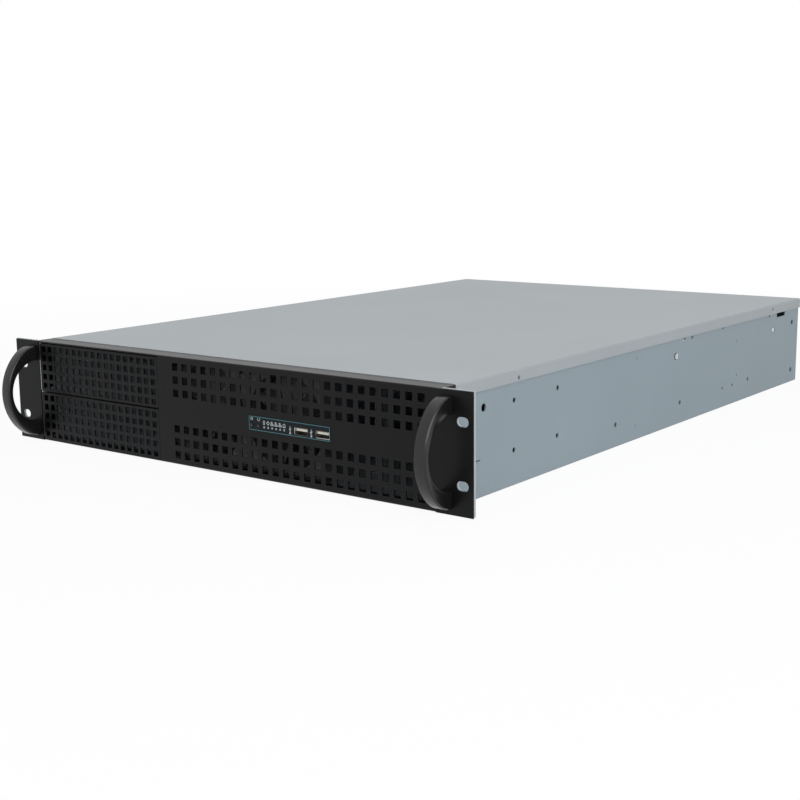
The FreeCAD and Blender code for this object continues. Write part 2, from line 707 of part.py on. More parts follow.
def bay_cover(low_z):
    """Perforated blank for one drive bay: a shallow tray that clips between the cage's sides."""
    x0, x1 = bay_cover_left, bay_cover_right
    z0, z1 = low_z, low_z + bay_cover_height
    y0 = bezel_front_y
    skin = bay_cover_sheet
    relief = bay_corner_relief + skin
    parts = [box(x0, x1, y0, y0 + skin, z0, z1),
             box(x0 + relief, x1 - relief, y0, y0 + bay_cover_edge, z0, z0 + skin),
             box(x0 + relief, x1 - relief, y0, y0 + bay_cover_edge, z1 - skin, z1),
             box(x0, x0 + skin, y0, y0 + bay_cover_side, z0 + relief, z1 - relief),
             box(x1 - skin, x1, y0, y0 + bay_cover_side, z0 + relief, z1 - relief)]
    tray = fused(parts)
    holes = []
    for x in grid(bay_columns, bay_hole_pitch, (x0 + x1) / 2):
        for z in grid(bay_rows, bay_hole_pitch, (z0 + z1) / 2):
            holes.append(box(x - bay_hole / 2, x + bay_hole / 2, y0 - 1, y0 + skin + 1,
                             z - bay_hole / 2, z + bay_hole / 2))
    return cut_all(tray, holes)


# ---------------------------------------------------------------- handles
def handle(side):
    """Bowed strap whose legs widen into feet on the bezel."""
    x0 = side * handle_centre_x - handle_width / 2
    inner_half = handle_half_height - handle_foot
    outer = bow(x0, handle_reach, handle_half_height, handle_shoulder)
    inner = bow(x0, handle_reach - handle_grip, inner_half, inner_shoulder)
    legs = [Part.makeLine(V(x0, bezel_front_y, s * inner_half), V(x0, bezel_front_y, s * handle_half_height))
            for s in (-1, 1)]
    ring = Part.Wire(Part.__sortEdges__(outer + inner + legs))
    strap = Part.Face(ring).extrude(X_AXIS * handle_width)
    bowed = [e for e in strap.Edges if e.BoundBox.XLength < 1e-3 and e.BoundBox.YMin < bezel_front_y - 1]
    strap = strap.makeChamfer(handle_edge, bowed)
    bores = [rod(handle_screw_r + screw_clearance,
                 V(side * handle_centre_x, bezel_front_y + 1, s * handle_screw_z),
                 Y_AXIS * -1, handle_screw_grip + 1.5) for s in (-1, 1)]
    return cut_all(strap, bores)


def handle_screws():
    """Screws from behind, through the ear and the bezel into the handles' feet."""
    screws = []
    for x, z in handle_screws_at:
        screws.append(hex_screw(V(x, 0, z), Y_AXIS, screw_head_across, screw_head_height,
                                handle_screw_r, handle_screw_grip - bezel_front_y))
    return Part.makeCompound(screws)


# ---------------------------------------------------------------- drive cages
def bay_cage():
    """Folded cage for two 5.25 inch drives."""
    path = [(bay_left_x, deck_z), (bay_left_x, cage_roof_z), (bay_right_x, cage_roof_z),
            (bay_right_x, deck_z), (bay_right_x + cage_foot, deck_z)]
    front = io_gap
    cage = folded(path, cage_sheet, lambda a, b: V(a, front, b), V(0, bay_cage_depth, 0))
    finger = box(bay_left_x - cage_sheet, bay_left_x, bezel_front_y + cage_finger_inset, front + cage_sheet,
                 cage_finger_low, cage_finger_low + cage_finger_height)
    cage = fused([cage, finger])
    roof_front = bezel_front_y + bay_cover_edge + fit_gap
    cuts = [box(bay_left_x - 2, bay_right_x + 2, 0, roof_front, cage_roof_z - 1, top_z),
            box(bay_left_x - 2, bay_left_x + 2, -1, cover_front_y, floor_z, flange_over_z + fit_gap),
            box(bay_right_x - 2, bay_right_x + cage_foot + 2, -1, cover_front_y,
                floor_z, flange_over_z + fit_gap)]
    for centre in (cage_roof_z - bay_cover_height / 2, deck_z + bay_cover_height / 2):
        for y in (drive_slot_y, drive_slot_y + drive_slot_spacing):
            cuts.append(box(bay_left_x - 3, bay_right_x + 3,
                            y - drive_slot_length / 2, y + drive_slot_length / 2,
                            centre - drive_slot_height / 2, centre + drive_slot_height / 2))
    return cut_all(cage, cuts)


def hard_drive_cage():
    """Folded cage for three 3.5 inch drives, against the right side wall."""
    path = [(hdd_left_x - cage_foot, deck_z), (hdd_left_x, deck_z), (hdd_left_x, cage_roof_z),
            (hdd_right_x, cage_roof_z), (hdd_right_x, deck_z + corner_relief)]
    cage = folded(path, cage_sheet, lambda a, b: V(a, hdd_front_y, b), V(0, hdd_depth, 0))
    window_y = hdd_front_y + hdd_depth / 2
    cuts = [box(hdd_right_x - 3, wall_inner_x + 1, hdd_front_y - 1, hdd_front_y + hdd_depth + 1,
                pan_top_z - pan_sheet - corner_relief, top_z)]
    cuts += [box(hdd_left_x - 3, hdd_left_x + 3, window_y + s - cage_window_length / 2,
                window_y + s + cage_window_length / 2, -cage_window_height / 2, cage_window_height / 2)
            for s in (-cage_window_step / 2, cage_window_step / 2)]
    cuts += [box(hdd_right_x - 1, wall_inner_x + 1, y - cage_slit / 2, y + cage_slit / 2,
                 cage_hole_z[0] - cage_slit / 2, cage_hole_z[1] + cage_slit / 2) for y in cage_hole_y]
    return cut_all(cage, cuts)


# ---------------------------------------------------------------- fans
def fan_frame(centre_x):
    """Square frame with a round duct, and struts at the rear that carry the motor's seat."""
    half = fan_size / 2
    c = V(centre_x, fan_front_y, fan_centre_z)
    frame = box(c.x - half, c.x + half, fan_front_y, fan_back_y, c.z - half, c.z + half)
    frame = frame.makeFillet(fan_corner, [e for e in frame.Edges if e.BoundBox.YLength > fan_depth / 2])
    frame = frame.cut(rod(fan_duct_r, c - Y_AXIS, Y_AXIS, fan_depth + 2))
    seat_y = fan_back_y - fan_strut_depth
    seat = rod(fan_hub_r, V(c.x, seat_y, c.z), Y_AXIS, fan_strut_depth)
    struts = []
    for k in range(fan_struts):
        strut = box(c.x + fan_hub_r - 2, c.x + fan_duct_r + 1, seat_y, fan_back_y,
                    c.z - fan_strut / 2, c.z + fan_strut / 2)
        strut.rotate(c, Y_AXIS, 45 + 360 * k / fan_struts)
        struts.append(strut)
    frame = fused([frame, seat] + struts)
    span = fan_hole_span / 2
    holes = [rod(fan_hole_r, V(c.x + sx * span, fan_front_y - 1, c.z + sz * span), Y_AXIS, fan_depth + 2)
             for sx in (-1, 1) for sz in (-1, 1)]
    return cut_all(frame, holes)


def blade_section(radius, chord, y_mid):
    """Corners of a blade's cambered section, which lies square to its radius."""
    slope = math.radians(blade_angle)
    along = V(math.cos(slope), math.sin(slope), 0)
    across = V(-math.sin(slope), math.cos(slope), 0)
    middle = V(0, y_mid, radius)

    def at(u, v):
        return middle + along * u + across * v

    half = chord / 2
    thin = blade_thickness * chord / 2
    rise = blade_camber * chord
    corners = [at(-half, -thin), at(0, rise - thin), at(half, -thin),
               at(half, thin), at(0, rise + thin), at(-half, thin)]
    return corners + corners[:1]


def tapered(low, high):
    """Solid with flat sides between two polygons of one form in parallel planes."""
    rings = [[low[i], low[i + 1], high[i + 1], high[i], low[i]] for i in range(len(low) - 1)]
    faces = [Part.Face(Part.makePolygon(ring)) for ring in rings + [low, high]]
    return Part.makeSolid(Part.makeShell(faces))


def fan_rotor(centre_x):
    """Hub and cambered blades that widen towards their tips."""
    hub_front = fan_front_y + rotor_inset
    hub_back = fan_back_y - fan_strut_depth - fit_gap
    hub = rod(fan_hub_r, V(0, hub_front, 0), Y_AXIS, hub_back - hub_front)
    rim = [e for e in hub.Edges if e.BoundBox.YLength < 1e-3 and e.BoundBox.YMin < hub_front + 1e-3]
    hub = hub.makeChamfer(fan_hub_edge / 2, rim)
    middle = (hub_front + hub_back) / 2
    root = blade_section(fan_hub_r - fan_hub_edge, blade_root_chord, middle)
    tip = blade_section(blade_tip_r, blade_tip_chord, middle)
    blade = tapered(root, tip)
    blades = []
    for k in range(blade_count):
        copy = blade.copy()
        copy.rotate(V(0, 0, 0), Y_AXIS, 360 * k / blade_count)
        blades.append(copy)
    rotor = fused([hub] + blades)
    rotor.translate(V(centre_x, 0, fan_centre_z))
    return rotor


def fan_tray():
    """Upright plate behind the fans, with a foot on the floor."""
    left = fan_left_x
    right = fan_centre_x[-1] + fan_size / 2
    path = [(fan_back_y, cage_roof_z), (fan_back_y, deck_z), (fan_back_y + bracket_foot, deck_z)]
    tray = folded(path, tray_sheet, lambda a, b: V(left, a, b), V(right - left, 0, 0))
    cuts = [box(left - 1, bay_right_x + cage_foot + fit_gap, fan_back_y - 1, fan_back_y + bracket_foot + 1,
                deck_z - 1, deck_z + cage_sheet + io_gap)]
    span = fan_hole_span / 2
    for x in fan_centre_x:
        cuts.append(rod(fan_duct_r, V(x, fan_back_y - 1, fan_centre_z), Y_AXIS, tray_sheet + 2))
        cuts += [rod(fan_hole_r, V(x + side * span, fan_back_y - 1, fan_centre_z - side * span),
                     Y_AXIS, tray_sheet + 2) for side in (-1, 1)]
    return cut_all(tray, cuts)


def fan_screws():
    """Two screws for each fan, at opposite corners."""
    span = fan_hole_span / 2
    screws = []
    for x in fan_centre_x:
        for side in (-1, 1):
            seat = V(x + side * span, fan_back_y + tray_sheet, fan_centre_z - side * span)
            screws.append(hex_screw(seat, Y_AXIS, fan_screw_across, fan_screw_head,
                                    fan_hole_r - screw_clearance, fan_screw_grip))
    return Part.makeCompound(screws)


# ---------------------------------------------------------------- front input and output
def io_label():
    """Thin printed plate around the front buttons, lamps and ports."""
    x0, x1 = io_label_left, io_label_left + io_label_width
    y0 = bezel_front_y - io_label_sheet
    plate = box(x0, x1, y0, bezel_front_y, -io_label_height / 2, io_label_height / 2)
    cuts = [box(x - usb_width / 2 - io_gap, x + usb_width / 2 + io_gap, y0 - 1, bezel_front_y + 1,
                usb_z - usb_height / 2 - io_gap, usb_z + usb_height / 2 + io_gap) for x in usb_x]
    cuts += [rod(button_r + io_gap, V(x, y0 - 1, z), Y_AXIS, 3) for x, z in button_at]
    return cut_all(plate, cuts)


def io_board():
    """Circuit board that carries the front ports, switches and lamps."""
    return box(io_label_left + board_side, io_label_left + io_label_width + board_side,
               bezel_back_y + io_bracket_sheet + io_gap, bezel_back_y + board_depth,
               board_top_z - board_sheet, board_top_z)


def io_bracket():
    """Angle on the bezel's back that carries the board."""
    under = board_top_z - board_sheet
    path = [(bezel_back_y, under - io_bracket_drop), (bezel_back_y, under),
            (bezel_back_y + board_depth, under)]
    x0 = io_label_left + board_side
    return folded(path[::-1], io_bracket_sheet, lambda a, b: V(x0, a, b), V(io_label_width, 0, 0))


def io_switches():
    """Push switches behind the two buttons."""
    tip = bezel_front_y - io_label_sheet - button_stand + button_length
    y0 = tip + button_travel + fit_gap
    y1 = bezel_back_y + board_depth - io_gap
    return Part.makeCompound([box(x - switch_width / 2, x + switch_width / 2, y0, y1, board_top_z,
                                  board_top_z + switch_height) for x, _ in button_at])


def button(place):
    """Push button with a collar that keeps it behind the bezel."""
    x, z = place
    front = bezel_front_y - io_label_sheet - button_stand
    pin = rod(button_r, V(x, front, z), Y_AXIS, button_length)
    collar = rod(button_collar_r, V(x, bezel_back_y + io_gap, z), Y_AXIS, button_collar)
    return fused([pin, collar])


def led_lamps():
    """Row of lamps on the board that shine through the bezel's window and the label."""
    tip = bezel_front_y + led_width
    return Part.makeCompound([box(x - led_width / 2, x + led_width / 2, tip, tip + led_length,
                                  board_top_z, board_top_z + led_height) for x, _ in led_at])


def usb_shell(x):
    """Folded steel shell of a port, open in front."""
    y0 = bezel_front_y - io_label_sheet
    half_w, half_h = usb_width / 2, usb_height / 2
    shell = box(x - half_w, x + half_w, y0, y0 + usb_length, usb_z - half_h, usb_z + half_h)
    hollow = box(x - half_w + usb_wall, x + half_w - usb_wall, y0 - 1, y0 + usb_length - usb_wall,
                 usb_z - half_h + usb_wall, usb_z + half_h - usb_wall)
    shell = shell.makeFillet(usb_wall * 2, [e for e in shell.Edges if e.BoundBox.YLength > usb_length / 2])
    return shell.cut(hollow)


def usb_tongue(x):
    """Plastic tongue and block inside a port's shell."""
    y0 = bezel_front_y - io_label_sheet
    back = y0 + usb_length - usb_wall
    half_w = usb_width / 2 - usb_wall
    half_h = usb_height / 2 - usb_wall
    side = usb_tongue_side
    tongue = box(x - half_w + side, x + half_w - side, y0 + usb_tongue_inset, back,
                 usb_z + half_h - usb_tongue_height - 0.5, usb_z + half_h - 0.5)
    block = box(x - half_w, x + half_w, back - 2.5, back, usb_z - half_h, usb_z + half_h)
    return fused([tongue, block])


# ---------------------------------------------------------------- write one file for each piece
pieces = {
    "chassis_pan": chassis_pan(),
    "rear_panel": rear_panel(),
    "slot_frame": slot_frame(),
    "slot_screws": slot_screws(),
    "psu_bracket": psu_bracket(),
    "cross_brace": cross_brace(),
    "brace_screws": brace_screws(),
    "board_standoffs": board_standoffs(),
    "top_cover": top_cover(),
    "cover_thumbscrews": cover_thumbscrews(),
    "front_bezel": front_bezel(),
    "rack_ear_left": rack_ear(-1),
    "rack_ear_right": rack_ear(1),
    "handle_left": handle(-1),
    "handle_right": handle(1),
    "handle_screws": handle_screws(),
    "bay_cover_lower": bay_cover(bay_cover_low[0]),
    "bay_cover_upper": bay_cover(bay_cover_low[1]),
    "bay_cage": bay_cage(),
    "hard_drive_cage": hard_drive_cage(),
    "fan_tray": fan_tray(),
    "fan_screws": fan_screws(),
    "io_label": io_label(),
    "io_board": io_board(),
    "io_bracket": io_bracket(),
    "io_switches": io_switches(),
    "power_button": button(button_at[0]),
    "reset_button": button(button_at[1]),
    "led_lamps": led_lamps(),
}
for number in range(slot_count):
    pieces["slot_cover_%d" % (number + 1)] = slot_cover(number)
for number, x in enumerate(fan_centre_x):
    pieces["fan_frame_%d" % (number + 1)] = fan_frame(x)
    pieces["fan_rotor_%d" % (number + 1)] = fan_rotor(x)
for number, x in enumerate(usb_x):
    pieces["usb_shell_%d" % (number + 1)] = usb_shell(x)
    pieces["usb_tongue_%d" % (number + 1)] = usb_tongue(x)

os.makedirs("parts", exist_ok=True)
for name, shape in pieces.items():
    shape.exportStep("parts/" + name + ".step")
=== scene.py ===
"""Looks of the empty 2U rackmount server case, in metres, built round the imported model."""
import bpy
import json
import math
from mathutils import Matrix, Vector


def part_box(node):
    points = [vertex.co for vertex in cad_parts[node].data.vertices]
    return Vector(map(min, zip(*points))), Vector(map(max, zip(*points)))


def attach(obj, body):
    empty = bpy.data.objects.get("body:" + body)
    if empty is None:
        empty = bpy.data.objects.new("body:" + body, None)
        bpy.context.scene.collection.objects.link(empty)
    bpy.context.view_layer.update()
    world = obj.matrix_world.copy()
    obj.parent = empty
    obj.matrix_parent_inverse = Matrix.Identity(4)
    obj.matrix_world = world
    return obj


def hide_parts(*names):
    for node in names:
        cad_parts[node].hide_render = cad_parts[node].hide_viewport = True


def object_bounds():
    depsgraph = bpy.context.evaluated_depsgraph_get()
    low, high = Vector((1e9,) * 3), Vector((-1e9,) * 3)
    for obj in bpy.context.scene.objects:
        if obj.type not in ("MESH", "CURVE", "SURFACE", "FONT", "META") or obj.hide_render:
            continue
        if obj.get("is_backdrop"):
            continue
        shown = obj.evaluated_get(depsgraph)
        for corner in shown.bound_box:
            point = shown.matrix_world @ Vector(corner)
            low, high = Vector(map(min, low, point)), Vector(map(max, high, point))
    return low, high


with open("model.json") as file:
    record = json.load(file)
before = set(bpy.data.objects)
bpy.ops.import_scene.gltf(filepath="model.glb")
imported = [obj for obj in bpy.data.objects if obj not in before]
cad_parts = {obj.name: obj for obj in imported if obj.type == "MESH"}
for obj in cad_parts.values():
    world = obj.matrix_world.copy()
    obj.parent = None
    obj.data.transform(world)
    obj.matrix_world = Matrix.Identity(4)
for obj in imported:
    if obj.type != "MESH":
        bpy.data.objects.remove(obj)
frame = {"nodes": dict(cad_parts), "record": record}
cad_low, cad_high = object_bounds()
bpy.ops.object.select_all(action="DESELECT")

MM = 0.001
label_low, label_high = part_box("io_label")

# ---------------------------------------------------------------- sizes of the small pieces
wall_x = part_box("chassis_pan")[1].x
line_width = 0.42 * MM       # outline of the label
line_height = 0.06 * MM      # print stands this far off the label
label_inset = 0.3 * MM       # outline in from the label's edge
sign_z = 3.4 * MM            # power and reset signs
key_line = 0.36 * MM
lamp_sign_z = 1.4 * MM       # six signs over the lamps
lamp_count = 6
lamp_z = -2.05 * MM
lamp_width = 1.6 * MM
lens_radius = 0.85 * MM
lens_rim = 0.3 * MM
port_sign_gap = 4.3 * MM     # sign's stroke in front of the shell's left wall
highlight_strip_width = 0.35 * MM        # painted highlight strip of a port's shell
# thin long faces of the rotor blades that get a pale painted highlight
glint_strip_width = 0.4 * MM
glint_strip_length = 8 * MM
boss_radius = 1.7 * MM
boss_height = 0.35 * MM
pit_stand = 0.02 * MM        # pit's rim off the wall
pit_depth = 0.01 * MM
shade_ring_gap = 0.28 * MM       # painted shade ring's middle outside the screw's head
shade_ring_radius = 0.26 * MM
slot_screw_count = 7

# ---------------------------------------------------------------- rounding
handle_rounding = 0.3 * MM
rotor_rounding = 0.45 * MM
screw_rounding = 0.12 * MM
smooth_angle = 40            # degrees: flatter creases are shaded as round
merge_distance = 0.002 * MM  # points closer than this are one
flat_angle = 0.5             # degrees: flatter joints are dissolved
frame_corner_share = 1.2     # corner of a printed frame, in line widths
bar_corner_share = 0.3       # corner of a printed bar, in its smaller side

# ---------------------------------------------------------------- marks of the side walls
# Pits as (y, z, radius) and bosses as (y, z) on each side wall, in millimetres.
pits_at = ((465.5, -24.9, 1.25), (488.6, -24.9, 1.25), (463.0, 33.0, 1.0), (578.0, 32.8, 1.1))
bosses_at = ((287.0, 26.7), (288.0, -31.6), (498.0, 16.8), (500.0, -16.5))

# ---------------------------------------------------------------- textures, scales per metre
cloud_scale = 9              # slow patches of the zinc
line_scale = 900             # rolling lines
line_stretch = 0.04          # and their stretch along the sheet
grain_scale = 2600
cloud_light = (0.965, 1.035)
line_light = (0.995, 1.005)
line_share = 0.3             # part of the lines in the bump
coat_grain_scale = 1800
coat_cloud_scale = 14
coat_light = (0.93, 1.07)
coat_grain_share = 0.08      # part of the grain in the roughness
bump_strength = 0.35
ink_bump = 0.002 * MM
film_bump = 0.005 * MM
fine_bump = 0.01 * MM
handle_bump = 0.015 * MM
rough_bump = 0.02 * MM
powder_bump = 0.03 * MM

# ---------------------------------------------------------------- stage
floor_size = 14
floor_gap = 0.2 * MM         # floor under the case
floor_color = (0.9, 0.9, 0.9)
paper_share = (0.93, 1.0)    # whiteness near the case and far out
paper_reach = (0.5, 1.4)     # distances where it starts and ends
sky_color = (0.92, 0.98, 1.0)
sky_strength = 0.5
lens_length = 60.328
camera_place = (0.730952, -0.731473, 0.200826)
camera_azimuth = 37.0886
camera_elevation = 10.4696
camera_roll = -0.5876


# ---------------------------------------------------------------- node helpers
def new_group(name, inputs, outputs):
    group = bpy.data.node_groups.new(name, "ShaderNodeTree")
    for label, kind, value in inputs:
        socket = group.interface.new_socket(name=label, in_out="INPUT", socket_type=kind)
        socket.default_value = value
    for label, kind in outputs:
        group.interface.new_socket(name=label, in_out="OUTPUT", socket_type=kind)
    return group, group.nodes.new("NodeGroupInput"), group.nodes.new("NodeGroupOutput")


def link(tree, source, target):
    tree.links.new(source, target)


def noise(tree, coordinates, scale, detail, roughness=0.5):
    node = tree.nodes.new("ShaderNodeTexNoise")
    node.inputs["Scale"].default_value = scale
    node.inputs["Detail"].default_value = detail
    node.inputs["Roughness"].default_value = roughness
    link(tree, coordinates, node.inputs["Vector"])
    return node


def remap(tree, value, low, high, from_low=0.3, from_high=0.7):
    node = tree.nodes.new("ShaderNodeMapRange")
    node.inputs["From Min"].default_value = from_low
    node.inputs["From Max"].default_value = from_high
    node.inputs["To Min"].default_value = low
    node.inputs["To Max"].default_value = high
    link(tree, value, node.inputs["Value"])
    return node.outputs["Result"]


def sheet_metal_group():
    """Zinc coating: faint clouds in the colour, rolling lines along the sheet and a fine grain."""
    group, given, made = new_group(
        "zinc_surface",
        [("Color", "NodeSocketColor", (0.5, 0.5, 0.5, 1)), ("Cloud", "NodeSocketFloat", 0.05),
         ("Roughness", "NodeSocketFloat", 0.4)],
        [("Color", "NodeSocketColor"), ("Roughness", "NodeSocketFloat"), ("Height", "NodeSocketFloat")])
    place = group.nodes.new("ShaderNodeTexCoord")
    stretch = group.nodes.new("ShaderNodeMapping")
    stretch.inputs["Scale"].default_value = (1, line_stretch, 1)
    link(group, place.outputs["Object"], stretch.inputs["Vector"])
    clouds = noise(group, place.outputs["Object"], cloud_scale, 3)
    lines = noise(group, stretch.outputs["Vector"], line_scale, 2)
    grain = noise(group, place.outputs["Object"], grain_scale, 2)
    patches = remap(group, clouds.outputs["Fac"], *cloud_light)
    streaks = remap(group, lines.outputs["Fac"], *line_light)
    both = group.nodes.new("ShaderNodeMath")
    both.operation = "MULTIPLY"
    link(group, patches, both.inputs[0])
    link(group, streaks, both.inputs[1])
    tint = group.nodes.new("ShaderNodeVectorMath")
    tint.operation = "SCALE"
    link(group, given.outputs["Color"], tint.inputs[0])
    link(group, both.outputs[0], tint.inputs["Scale"])
    link(group, tint.outputs["Vector"], made.inputs["Color"])
    rough = group.nodes.new("ShaderNodeMath")
    rough.operation = "MULTIPLY_ADD"
    link(group, clouds.outputs["Fac"], rough.inputs[0])
    link(group, given.outputs["Cloud"], rough.inputs[1])
    link(group, given.outputs["Roughness"], rough.inputs[2])
    link(group, rough.outputs[0], made.inputs["Roughness"])
    sum_height = group.nodes.new("ShaderNodeMath")
    sum_height.operation = "MULTIPLY_ADD"
    sum_height.inputs[1].default_value = line_share
    link(group, lines.outputs["Fac"], sum_height.inputs[0])
    link(group, grain.outputs["Fac"], sum_height.inputs[2])
    link(group, sum_height.outputs[0], made.inputs["Height"])
    return group


def coating_group():
    """Powder coat or moulded skin: a fine orange-peel texture and slightly uneven gloss."""
    group, given, made = new_group(
        "coat_surface",
        [("Color", "NodeSocketColor", (0.02, 0.02, 0.02, 1)), ("Roughness", "NodeSocketFloat", 0.5),
         ("Grain", "NodeSocketFloat", coat_grain_scale)],
        [("Color", "NodeSocketColor"), ("Roughness", "NodeSocketFloat"), ("Height", "NodeSocketFloat")])
    place = group.nodes.new("ShaderNodeTexCoord")
    grain = noise(group, place.outputs["Object"], coat_grain_scale, 3)
    link(group, given.outputs["Grain"], grain.inputs["Scale"])
    clouds = noise(group, place.outputs["Object"], coat_cloud_scale, 3)
    light = remap(group, clouds.outputs["Fac"], *coat_light)
    tint = group.nodes.new("ShaderNodeVectorMath")
    tint.operation = "SCALE"
    link(group, given.outputs["Color"], tint.inputs[0])
    link(group, light, tint.inputs["Scale"])
    link(group, tint.outputs["Vector"], made.inputs["Color"])
    rough = group.nodes.new("ShaderNodeMath")
    rough.operation = "MULTIPLY_ADD"
    rough.inputs[1].default_value = coat_grain_share
    link(group, grain.outputs["Fac"], rough.inputs[0])
    link(group, given.outputs["Roughness"], rough.inputs[2])
    link(group, rough.outputs[0], made.inputs["Roughness"])
    link(group, grain.outputs["Fac"], made.inputs["Height"])
    return group


def grouped_material(name, group, color, settings, metallic, bump_distance):
    """A material whose colour, gloss and bump come from a surface group."""
    material = bpy.data.materials.new(name)
    material.use_nodes = True
    tree = material.node_tree
    shader = tree.nodes["Principled BSDF"]
    shader.inputs["Metallic"].default_value = metallic
    surface = tree.nodes.new("ShaderNodeGroup")
    surface.node_tree = group
    surface.inputs["Color"].default_value = (*color, 1)
    for label, value in settings.items():
        surface.inputs[label].default_value = value
    link(tree, surface.outputs["Color"], shader.inputs["Base Color"])
    link(tree, surface.outputs["Roughness"], shader.inputs["Roughness"])
    bump = tree.nodes.new("ShaderNodeBump")
    bump.inputs["Strength"].default_value = bump_strength
    bump.inputs["Distance"].default_value = bump_distance
    link(tree, surface.outputs["Height"], bump.inputs["Height"])
    link(tree, bump.outputs["Normal"], shader.inputs["Normal"])
    return material


zinc = sheet_metal_group()
coat = coating_group()


def zinc_material(name, color, roughness, cloud=0.08, metallic=1.0, bump=fine_bump):
    return grouped_material(name, zinc, color, {"Roughness": roughness, "Cloud": cloud}, metallic, bump)


def coat_material(name, color, roughness, grain, bump=fine_bump, gloss=0.5):
    material = grouped_material(name, coat, color, {"Roughness": roughness, "Grain": grain}, 0.0, bump)
    material.node_tree.nodes["Principled BSDF"].inputs["Specular IOR Level"].default_value = gloss
    return material


# The cover and the chassis pan are copies of one zinc sheet; the pan's copy is darker and bluer as
# painted shade of the side walls and rear panel.
cover_steel = zinc_material("cover_steel", (0.365, 0.392, 0.408), 0.48, metallic=0.38)
pan_steel = zinc_material("pan_steel", (0.268, 0.325, 0.36), 0.48, cloud=0.10, metallic=0.35)
galvanised_steel = zinc_material("galvanised_steel", (0.38, 0.42, 0.44), 0.42, cloud=0.10, metallic=0.5,
                                 bump=rough_bump)
ear_steel = zinc_material("ear_steel", (0.42, 0.45, 0.46), 0.38, cloud=0.06, metallic=0.5)
screw_steel = zinc_material("screw_steel", (0.60, 0.61, 0.62), 0.24, cloud=0.05)
# The port shells' steel comes as two copies: a dark one as painted shade inside the shells, and a bright
# one as a painted highlight on their left walls and lower lips.
port_steel = zinc_material("port_steel", (0.13, 0.12, 0.105), 0.32, cloud=0.05)
painted_highlight_steel = zinc_material("painted_highlight_steel", (0.72, 0.70, 0.66), 0.25, cloud=0.05)
# Pale strips on the rotor blades' thin edges: a painted highlight standing in for glints.
painted_glint = coat_material("painted_glint", (0.50, 0.50, 0.51), 0.30, 2600, film_bump, gloss=0.4)
brass = zinc_material("brass", (0.62, 0.45, 0.18), 0.25)
black_coat = coat_material("black_coat", (0.004, 0.004, 0.0045), 0.31, 1500, powder_bump, gloss=0.16)
handle_black = coat_material("handle_black", (0.008, 0.008, 0.008), 0.22, 1500, handle_bump, gloss=0.42)
# Fan frames and rotors are grey rather than black: painted light, raised to stand in for light that
# barely reaches them behind the grille.
fan_plastic = coat_material("fan_plastic", (0.09, 0.09, 0.093), 0.38, 2200, rough_bump)
rotor_plastic = coat_material("rotor_plastic", (0.07, 0.07, 0.072), 0.38, 2600, film_bump, gloss=0.3)
label_film = coat_material("label_film", (0.003, 0.006, 0.009), 0.34, 3000, film_bump, gloss=0.16)
circuit_board = coat_material("circuit_board", (0.02, 0.12, 0.05), 0.35, 900, rough_bump)
lamp_clear = coat_material("lamp_clear", (0.30, 0.33, 0.34), 0.20, 2000, film_bump)
button_black = coat_material("button_black", (0.018, 0.016, 0.016), 0.34, 3000, film_bump)
port_plastic = coat_material("port_plastic", (0.62, 0.60, 0.54), 0.40, 2600, film_bump)
# Flat black for painted shade: inside the side walls' pits and in the gap round the brace's screw.
painted_shade_black = coat_material("painted_shade_black", (0.006, 0.007, 0.008), 0.60, 2000, gloss=0.2)
ink_blue = coat_material("ink_blue", (0.045, 0.17, 0.20), 0.40, 3000, ink_bump)
ink_white = coat_material("ink_white", (0.46, 0.48, 0.49), 0.40, 3000, ink_bump)

finishes = {"galvanised_steel": galvanised_steel, "screw_steel": screw_steel, "port_steel": port_steel,
            "brass": brass, "black_coat": black_coat, "handle_black": handle_black,
            "fan_plastic": fan_plastic, "rotor_plastic": rotor_plastic, "label_film": label_film,
            "circuit_board": circuit_board, "lamp_clear": lamp_clear, "button_black": button_black,
            "port_plastic": port_plastic}
special_finishes = {"top_cover": cover_steel, "chassis_pan": pan_steel, "rear_panel": pan_steel,
                    "rack_ear_left": ear_steel, "rack_ear_right": ear_steel}
slots = {part["node"]: part["material_slot"] for part in frame["record"]["subparts"]}
for node, piece in frame["nodes"].items():
    for index in range(len(piece.data.materials)):
        piece.data.materials[index] = special_finishes.get(node, finishes[slots[node]])


# ---------------------------------------------------------------- modelling helpers
def settle(piece, name, material, body="case"):
    """Names a finished piece, applies its place and says what it moves with."""
    bpy.ops.object.transform_apply(location=True, rotation=True, scale=True)
    piece.name = name
    piece.data.name = name
    piece.data.materials.clear()
    piece.data.materials.append(material)
    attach(piece, body)
    piece.select_set(False)
    return piece


def thicken(piece, thickness):
    solid = piece.modifiers.new("thickness", "SOLIDIFY")
    solid.thickness = thickness
    solid.offset = 1
    bpy.ops.object.modifier_apply(modifier=solid.name)


def round_edges(piece, width, segments, angle=30):
    bevel = piece.modifiers.new("edges", "BEVEL")
    bevel.width = width
    bevel.segments = segments
    bevel.limit_method = "ANGLE"
    bevel.angle_limit = math.radians(angle)
    bpy.ops.object.modifier_apply(modifier=bevel.name)
    bpy.ops.object.shade_smooth_by_angle(angle=math.radians(smooth_angle))


def delete_where(piece, test):
    """Removes the faces whose middle passes the test, in the piece's own space."""
    bpy.ops.mesh.select_all(action="DESELECT")
    bpy.ops.object.mode_set(mode="OBJECT")
    for face in piece.data.polygons:
        face.select = test(face.center)
    bpy.ops.object.mode_set(mode="EDIT")
    bpy.ops.mesh.delete(type="FACE")


